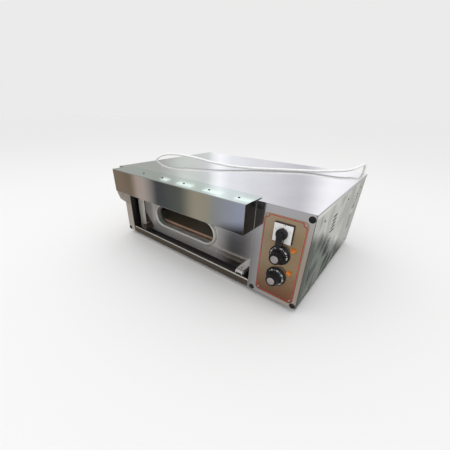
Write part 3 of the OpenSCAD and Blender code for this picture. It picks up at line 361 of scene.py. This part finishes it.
# Pieces whose finish isn't the plain one of their slot
OWN_FINISHES = {
    "top_cover": brushed("cover_steel", (0.78, 0.78, 0.79), (0.84, 0.84, 0.85), 0.08),
    # The hood's upward faces are painted greenish grey: a painted reflection of the ceiling
    "hood": tinted(HOOD_STEEL, "Normal", "Z", *ALONG_AXIS, (0.67, 0.75, 0.72)),
    "right_side_panel": brushed(
        "side_steel", (0.66, 0.68, 0.66), (0.76, 0.78, 0.75), 0.12, "Y", "Y", 0.3, wave=0.006),
    # A dark band painted along the door's left edge: painted shade for the gap between the door and the
    # post
    "door_skin": tinted(
        DOOR_STEEL, "Position", "X", DOOR_EDGE_X + EDGE_UNSHADED, DOOR_EDGE_X + EDGE_SHADED, (0.14, 0.11, 0.08)),
    # The strip's right-facing faces and the frame's left-facing faces are painted near-black: painted shade
    # in the recess beside the door
    "left_side_panel": tinted(STRIP_STEEL, "Normal", "X", *ALONG_AXIS),
    "face_frame": tinted(FRAME_STEEL, "Normal", "X", *AGAINST_AXIS),
    # Behind the lip the base pan is painted near-black: painted shade on the floor of the recess under the
    # door
    "base_pan": tinted(
        PAN_STEEL, "Position", "Y", FRONT_Y + LIP_UNSHADED, FRONT_Y + LIP_SHADED, (0.06, 0.055, 0.057)),
    # The left hinge arm is painted dark brown: painted shade
    "hinge_arms": tinted(ARM_STEEL, "Position", "X", ARM_UNSHADED_X, ARM_SHADED_X, (0.13, 0.105, 0.09)),
    "door_liner": plated("liner_steel", (0.38, 0.35, 0.31), (0.44, 0.40, 0.36), 0.35),
    "window_bezel": plated("bezel_steel", (0.88, 0.90, 0.86), (0.93, 0.95, 0.91), 0.42, metal=0.82),
    # A warm, dull copy of the steel: painted light and a painted brown reflection
    "hood_left_end": brushed("end_steel", (0.72, 0.65, 0.58), (0.78, 0.71, 0.64), 0.4, metal=0.3),
    # The hood's right end is its steel painted near-black: painted shade
    "hood_right_end": plated("dark_end", (0.04, 0.04, 0.04), (0.07, 0.065, 0.06), 0.4),
    "hood_screws": plated("dark_screw", (0.10, 0.10, 0.10), (0.20, 0.20, 0.20), 0.3),
    "upper_knob_cap": CAP_METAL,
    "lower_knob_cap": CAP_METAL,
    "heater_supports": FINISHES["heater_steel"],
}


def dress_frame():
    """Gives each CAD piece its finish."""
    for part in RECORD["subparts"]:
        name = part["node"]
        finish = OWN_FINISHES.get(name, FINISHES[part["material_slot"]])
        mesh = frame["nodes"][name].data
        mesh.materials.clear()
        mesh.materials.append(finish)


# Mesh helpers

def piece(name, mesh, finish, body):
    """A new piece of the object with its finish, which moves with a body."""
    made = bpy.data.objects.new(name, mesh)
    SCENE.collection.objects.link(made)
    mesh.materials.clear()
    mesh.materials.append(finish)
    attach(made, body)
    return made


def mesh_of(name, build):
    """A mesh that build fills."""
    work = bmesh.new()
    build(work)
    bmesh.ops.recalc_face_normals(work, faces=work.faces)
    made = bpy.data.meshes.new(name)
    work.to_mesh(made)
    work.free()
    return made


def slab(work, outline, place, thick):
    """A thin flat shape: the outline's points lie in a plane given by place, a 4x4 matrix."""
    front = [work.verts.new(place @ Vector((x, y, thick))) for x, y in outline]
    rear = [work.verts.new(place @ Vector((x, y, 0))) for x, y in outline]
    work.faces.new(front)
    work.faces.new(rear[::-1])
    for i in range(len(outline)):
        j = (i + 1) % len(outline)
        work.faces.new((front[j], front[i], rear[i], rear[j]))


def ribbon(work, line, width, place, thick):
    """A closed flat line of one width along a loop of points."""
    count = len(line)
    sides = []
    for i in range(count):
        before, here, after = (Vector(line[(i + k) % count]) for k in (-1, 0, 1))
        out_a = (here - before).normalized().orthogonal()
        out_b = (after - here).normalized().orthogonal()
        mitre = (out_a + out_b).normalized()
        reach = width / 2 / max(0.5, mitre.dot(out_a))
        sides.append([here + mitre * reach * s for s in (-1, 1)])
    rows = [[work.verts.new(place @ Vector((*side[k], t))) for side in sides]
            for t in (0, thick) for k in (0, 1)]
    for a, b in ((0, 1), (1, 3), (3, 2), (2, 0)):
        for i in range(count):
            j = (i + 1) % count
            work.faces.new((rows[a][i], rows[b][i], rows[b][j], rows[a][j]))


def plane_at(origin, right, up):
    """The matrix of a plane whose x and y axes are right and up."""
    out = right.cross(up)
    return Matrix.Translation(origin) @ Matrix((right, up, out)).transposed().to_4x4()


DIGIT_BOLD = 0.02


def number(work, text, size, place, thick):
    """Plain upright digits, centred on the plane's origin."""
    curve = bpy.data.curves.new("digits", "FONT")
    curve.body = text
    curve.size = size
    curve.align_x = "CENTER"
    curve.align_y = "CENTER"
    curve.extrude = thick / 2
    curve.offset = size * DIGIT_BOLD
    curve.resolution_u = 3
    holder = bpy.data.objects.new("digits", curve)
    SCENE.collection.objects.link(holder)
    SCENE.view_layers[0].update()
    flat = bpy.data.meshes.new_from_object(holder.evaluated_get(bpy.context.evaluated_depsgraph_get()))
    flat.transform(place)
    work.from_mesh(flat)
    bpy.data.objects.remove(holder)
    bpy.data.curves.remove(curve)
    bpy.data.meshes.remove(flat)


# The cord: the part's own route, from the front plane and the underside

LEAD_ROUTE = [
    (0.318, 0.5609, 0.07), (0.318, 0.576, 0.07), (0.319, 0.597, 0.076), (0.322, 0.612, 0.092),
    (0.327, 0.62, 0.115), (0.333, 0.622, 0.15), (0.34, 0.621, 0.19), (0.346, 0.616, 0.225),
    (0.35, 0.606, 0.255), (0.352, 0.589, 0.277), (0.352, 0.566, 0.288), (0.349, 0.541, 0.29),
    (0.343, 0.516, 0.286), (0.333, 0.49, 0.281), (0.318, 0.462, 0.278), (0.295, 0.44, 0.276),
    (0.262, 0.424, 0.273), (0.224, 0.408, 0.27), (0.18, 0.388, 0.269), (0.13, 0.358, 0.269),
    (0.084, 0.328, 0.269), (0.038, 0.299, 0.2695), (-0.03, 0.262, 0.273), (-0.08, 0.247, 0.277),
    (-0.128, 0.24, 0.281), (-0.18, 0.238, 0.286), (-0.235, 0.232, 0.29), (-0.296, 0.217, 0.293),
    (-0.345, 0.203, 0.288), (-0.38, 0.195, 0.274), (-0.402, 0.188, 0.25), (-0.408, 0.184, 0.215),
    (-0.408, 0.176, 0.17), (-0.406, 0.17, 0.125), (-0.403, 0.17, 0.08), (-0.398, 0.18, 0.038),
    (-0.392, 0.202, 0.008), (-0.387, 0.232, -0.006), (-0.385, 0.26, -0.0092), (-0.385, 0.288, -0.0092),
]
CORD_D = 0.009
COIL_R = 0.05
COIL_TURNS = 1
COIL_STEP = CORD_D + 0.002
COIL_RISE = CORD_D + 0.0014
COIL_POINTS = 48
LEAD_STEPS = 6


def curve_between(a, b, c, d, t):
    """A point on the smooth curve from b to c."""
    bend = 2 * a - 5 * b + 4 * c - d
    twist = 3 * b - a - 3 * c + d
    return 0.5 * (2 * b + (c - a) * t + bend * t ** 2 + twist * t ** 3)


def smooth_route(points, steps):
    last = len(points) - 1
    route = []
    for i in range(last):
        near = [points[max(0, min(last, i + k))] for k in (-1, 0, 1, 2)]
        route += [curve_between(*near, s / steps) for s in range(steps)]
    return route + [points[last]]


def coil_route(start):
    """Turns that wind in on the lower layer, climb in half a turn and wind out above it."""
    outer = COIL_R + COIL_STEP * COIL_TURNS / 2
    inner = outer - COIL_STEP * COIL_TURNS
    centre = start + Vector((-outer, CORD_D, 0))
    route = []
    whole = 2 * COIL_TURNS + 0.5
    for i in range(int(whole * COIL_POINTS) + 1):
        t = i / COIL_POINTS
        rise = max(0.0, min(1.0, 2 * (t - COIL_TURNS)))
        if t < COIL_TURNS:
            r = outer - COIL_STEP * t
        else:
            r = inner + COIL_STEP * max(0.0, t - COIL_TURNS - 0.5)
        turn = 2 * math.pi * t
        lift = COIL_RISE * rise * rise * (3 - 2 * rise)
        route.append(centre + Vector((r * math.cos(turn), r * math.sin(turn), lift)))
    return route + [route[-1] - Y * CORD_D]


def make_cord():
    lead = [Vector(p) + Vector((0, FRONT_Y, UNDERSIDE_Z)) for p in LEAD_ROUTE]
    route = smooth_route(lead, LEAD_STEPS) + coil_route(lead[-1])
    curve = bpy.data.curves.new("mains_cord", "CURVE")
    curve.dimensions = "3D"
    line = curve.splines.new("POLY")
    line.points.add(len(route) - 1)
    for point, place in zip(line.points, route):
        point.co = (*place, 1)
    line.use_smooth = True
    curve.bevel_depth = CORD_D / 2
    curve.bevel_resolution = 5
    curve.use_fill_caps = True
    curve.materials.append(FINISHES["cord_sheath"])
    cord = bpy.data.objects.new("mains_cord", curve)
    SCENE.collection.objects.link(cord)
    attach(cord, "oven")
    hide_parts("power_cord", "cord_coil")


# Print on the controls

PRINT_THICK = 0.00008
PRINT_RED = moulded("print_red", (0.34, 0.03, 0.035), (0.44, 0.05, 0.055), 0.35)
PRINT_WHITE = moulded("print_white", (0.66, 0.66, 0.65), (0.74, 0.74, 0.73), 0.4)
PRINT_BLACK = moulded("print_black", BLACK_DARK, BLACK_LIGHT, 0.45)


def fascia_border():
    """A red line round the fascia, drawn in at each corner round its rivet."""
    inset, notch, width, steps = 3.2 * MM, 10 * MM, 2.2 * MM, 6
    lo, hi = low("fascia_plate"), high("fascia_plate")
    half_w = (hi.x - lo.x) / 2 - inset
    half_h = (hi.z - lo.z) / 2 - inset
    line = []
    for sx, sz, first in ((1, 1, 180), (-1, 1, 270), (-1, -1, 0), (1, -1, 90)):
        for i in range(steps + 1):
            turn = math.radians(first + 90 - 90 * i / steps)
            line.append((sx * half_w + notch * math.cos(turn), sz * half_h + notch * math.sin(turn)))
    place = plane_at(Vector(((lo.x + hi.x) / 2, lo.y, (lo.z + hi.z) / 2)), X, Z)
    mesh = mesh_of("fascia_border", lambda work: ribbon(work, line, width, place, PRINT_THICK))
    piece("fascia_border", mesh, PRINT_RED, "oven")


def spoke(turn):
    """The directions outward from a dial's middle and along its rim, clockwise from the top."""
    return X * math.sin(turn) + Z * math.cos(turn), X * math.cos(turn) - Z * math.sin(turn)


def tick(work, half_w, half_l, place):
    """A short straight mark."""
    outline = [(-half_w, -half_l), (half_w, -half_l), (half_w, half_l), (-half_w, half_l)]
    slab(work, outline, place, PRINT_THICK)


DIAL_NUMBERS = ("50", "100", "150", "200", "250", "300")
DIAL_STEP = math.radians(40)
DIAL_DIGIT = 5.0 * MM
DIAL_TICK = (0.5 * MM, 1.4 * MM)
SKIRT_R = 21.2 * MM
SKIRT_SLOPE = math.atan2(2, 6.5)
SKIRT_H = 6.0 * MM


def dial_marks(name, knob, body, first):
    """White numbers and ticks on a knob's sloped skirt. first is where the lowest number stands,
    in degrees clockwise from the top."""
    back_y = high(knob).y
    centre = middle(knob)

    def skirt_plane(turn):
        outward, along = spoke(turn)
        up = outward * math.cos(SKIRT_SLOPE) + Y * math.sin(SKIRT_SLOPE)
        origin = Vector((centre.x, back_y - SKIRT_H, centre.z)) + outward * SKIRT_R
        return plane_at(origin, along, up)

    def build(work):
        for i, text in enumerate(DIAL_NUMBERS):
            turn = math.radians(first) + i * DIAL_STEP
            number(work, text, DIAL_DIGIT, skirt_plane(turn), 2 * PRINT_THICK)
            tick(work, *DIAL_TICK, skirt_plane(turn - DIAL_STEP / 2))

    piece(name, mesh_of(name, build), PRINT_WHITE, body)


SWITCH_R = 21.3 * MM
SWITCH_DIGIT = 3.6 * MM
SWITCH_TICK = (0.45 * MM, 1.1 * MM)
DIGIT_BESIDE = X * 3.4 * MM
DIGIT_BELOW = -Z * 4 * MM
SWITCH_PLACES = ((-60, "1", DIGIT_BELOW), (0, "0", DIGIT_BESIDE), (60, "2", DIGIT_BELOW))


def switch_marks():
    """Ticks and numbers for the three places of the switch, given in degrees."""
    face_y = low("switch_plate").y
    centre = middle("switch_plate")

    def build(work):
        for turn, text, aside in SWITCH_PLACES:
            outward, along = spoke(math.radians(turn))
            origin = Vector((centre.x, face_y, centre.z)) + outward * SWITCH_R
            tick(work, *SWITCH_TICK, plane_at(origin, along, outward))
            number(work, text, SWITCH_DIGIT, plane_at(origin + aside, X, Z), 2 * PRINT_THICK)

    piece("switch_marks", mesh_of("switch_marks", build), PRINT_BLACK, "oven")


# Stage, light and world

PALE = (0.835, 0.83, 0.83)
FLOOR_COLOR = (0.855, 0.85, 0.85)
FLOOR_HALF = 40.0


def make_floor():
    """A pale floor that keeps the oven's shadow. Metal and glass see past it to the studio."""
    corners = [(FLOOR_HALF * x, FLOOR_HALF * y, 0) for x, y in ((-1, -1), (1, -1), (1, 1), (-1, 1))]
    mesh = bpy.data.meshes.new("floor")
    mesh.from_pydata(corners, [], [(0, 1, 2, 3)])
    made, tree, shader = surface("floor", FLOOR_COLOR, 0.9, Specular_IOR_Level=0.0)
    path = add(tree, "LightPath")
    clear = add(tree, "BsdfTransparent")
    mixed = add(tree, "MixShader", {
        0: path.outputs["Is Glossy Ray"], 1: shader.outputs["BSDF"], 2: clear.outputs["BSDF"]})
    tree.links.new(mixed.outputs["Shader"], tree.nodes["Material Output"].inputs["Surface"])
    mesh.materials.append(made)
    floor = bpy.data.objects.new("floor", mesh)
    SCENE.collection.objects.link(floor)


# The studio as metal sees it: a ring of soft panels at three heights, each a list of
# (place round the horizon, colour). The place is 0.5 in front of the oven, 0.25 at its left,
# 0.75 at its right, and 0 or 1 behind it.
HIGH_PANELS = [
    (0.000, (0.60, 0.60, 0.63)), (0.033, (1.08, 1.08, 1.12)), (0.052, (0.62, 0.62, 0.66)),
    (0.078, (0.78, 0.78, 0.82)), (0.097, (0.86, 0.88, 0.92)), (0.106, (1.08, 1.08, 1.12)),
    (0.115, (0.64, 0.67, 0.66)), (0.128, (0.64, 0.68, 0.64)), (0.145, (0.42, 0.43, 0.40)),
    (0.162, (0.44, 0.44, 0.42)), (0.320, (0.32, 0.30, 0.28)), (0.450, (0.50, 0.49, 0.50)),
    (0.800, (0.60, 0.60, 0.62)),
]
LEVEL_PANELS = [
    (0.000, (0.45, 0.45, 0.43)), (0.290, (0.12, 0.10, 0.08)), (0.330, (0.22, 0.17, 0.13)),
    (0.336, (0.18, 0.14, 0.10)), (0.341, (0.46, 0.38, 0.34)), (0.346, (0.38, 0.34, 0.32)),
    (0.350, (0.06, 0.065, 0.07)), (0.366, (0.09, 0.10, 0.09)), (0.378, (0.33, 0.30, 0.23)),
    (0.386, (0.32, 0.30, 0.23)), (0.391, (0.27, 0.28, 0.29)), (0.412, (0.31, 0.335, 0.43)),
    (0.430, (0.47, 0.46, 0.48)), (0.520, (0.56, 0.54, 0.54)), (0.780, (0.10, 0.10, 0.09)),
    (0.950, (0.07, 0.08, 0.07)), (0.965, (0.78, 0.77, 0.73)), (0.978, (0.46, 0.45, 0.44)),
]
GROUND_PANELS = [
    (0.300, (0.30, 0.26, 0.23)), (0.350, (0.26, 0.24, 0.22)), (0.366, (0.20, 0.20, 0.18)),
    (0.386, (0.40, 0.40, 0.38)), (0.400, (0.02, 0.02, 0.02)), (0.416, (0.02, 0.02, 0.02)),
    (0.425, (0.34, 0.33, 0.34)), (0.460, (0.38, 0.32, 0.27)), (0.780, (0.08, 0.08, 0.07)),
    (0.960, (0.06, 0.07, 0.06)), (0.970, (0.32, 0.33, 0.31)), (0.980, (0.08, 0.09, 0.08)),
]
# The heights, as the upward part of a direction, between which one ring passes into the next
HIGH_FROM = (-0.10, 0.04)
LEVEL_FROM = (-0.44, -0.40)
# The row of ceiling lamps, for a ceiling one metre up: how far behind, how far across, one lamp's
# share of each step, and its light
LAMP_ROW = (2.53, 2.67)
LAMP_SPAN = (-3.3, -1.2)
LAMP_STEP = 0.58
LAMP_SHARE = 0.6
LAMP_LIGHT = (1.25, 1.33, 1.30)
# The even light on what isn't shiny
LIGHT_LEVEL = 0.97


def lamp_row(tree, direction):
    """One where a row of long ceiling lamps hangs behind the oven, and zero elsewhere."""
    def math_node(operation, *values):
        return add(tree, "Math", dict(enumerate(values)), operation=operation).outputs[0]

    def within(value, span):
        return math_node("COMPARE", value, (span[0] + span[1]) / 2, (span[1] - span[0]) / 2)

    x, y, z = (direction.outputs[axis] for axis in "XYZ")
    across = math_node("DIVIDE", x, z)
    row = math_node("MULTIPLY", within(math_node("DIVIDE", y, z), LAMP_ROW), within(across, LAMP_SPAN))
    step = math_node("FRACT", math_node("DIVIDE", across, LAMP_STEP))
    lamps = math_node("MULTIPLY", row, math_node("LESS_THAN", step, LAMP_SHARE))
    return math_node("MULTIPLY", lamps, math_node("GREATER_THAN", z, 0.0))


def make_world():
    world = bpy.data.worlds.new("studio")
    world.use_nodes = True
    SCENE.world = world
    tree = world.node_tree
    direction = add(tree, "SeparateXYZ", {"Vector": add(tree, "TexCoord").outputs["Generated"]})
    toward_front = add(tree, "Math", {0: direction.outputs["Y"], 1: -1.0}, operation="MULTIPLY")
    angle = add(tree, "Math", {0: direction.outputs["X"], 1: toward_front.outputs[0]}, operation="ARCTAN2")
    around = add(tree, "MapRange", {"Value": angle.outputs[0], "From Min": -math.pi, "From Max": math.pi})
    high_light, level_light, ground_light = (
        ramp(tree, around.outputs["Result"], panels)
        for panels in (HIGH_PANELS, LEVEL_PANELS, GROUND_PANELS))
    up = direction.outputs["Z"]
    lower = blend(tree, between(tree, up, 0.0, 1.0, *LEVEL_FROM), ground_light, level_light)
    panels = blend(tree, between(tree, up, 0.0, 1.0, *HIGH_FROM), lower, high_light)
    panels = blend(tree, lamp_row(tree, direction), panels, rgba(LAMP_LIGHT))
    path = add(tree, "LightPath")
    shiny = add(tree, "Math", {
        0: path.outputs["Is Glossy Ray"], 1: path.outputs["Is Transmission Ray"]}, operation="MAXIMUM")
    seen = blend(tree, shiny.outputs[0], rgba((LIGHT_LEVEL,) * 3), panels)
    final = blend(tree, path.outputs["Is Camera Ray"], seen, rgba(PALE))
    tree.links.new(final, tree.nodes["Background"].inputs["Color"])


def make_lamp(name, at, target, size, watts):
    """A soft square lamp, which metal doesn't mirror: there the panels stand for it."""
    light = bpy.data.lights.new(name, "AREA")
    light.size = size
    light.energy = watts
    lamp = bpy.data.objects.new(name, light)
    lamp.location = at
    lamp.visible_glossy = False
    lamp.rotation_euler = (Vector(target) - Vector(at)).to_track_quat("-Z", "Y").to_euler()
    SCENE.collection.objects.link(lamp)


make_camera()
make_cord()
dress_frame()
fascia_border()
dial_marks("upper_dial_marks", "upper_knob", "upper_dial", -110)
dial_marks("lower_dial_marks", "lower_knob", "lower_dial", -30)
switch_marks()
make_floor()
make_world()
make_lamp("overhead", at=(0.2, -0.2, 2.4), target=(0, 0, 0.2), size=2.0, watts=9)
make_lamp("front_left", at=(-1.2, -2.8, 2.0), target=(-0.1, 0, 0.15), size=2.4, watts=10)
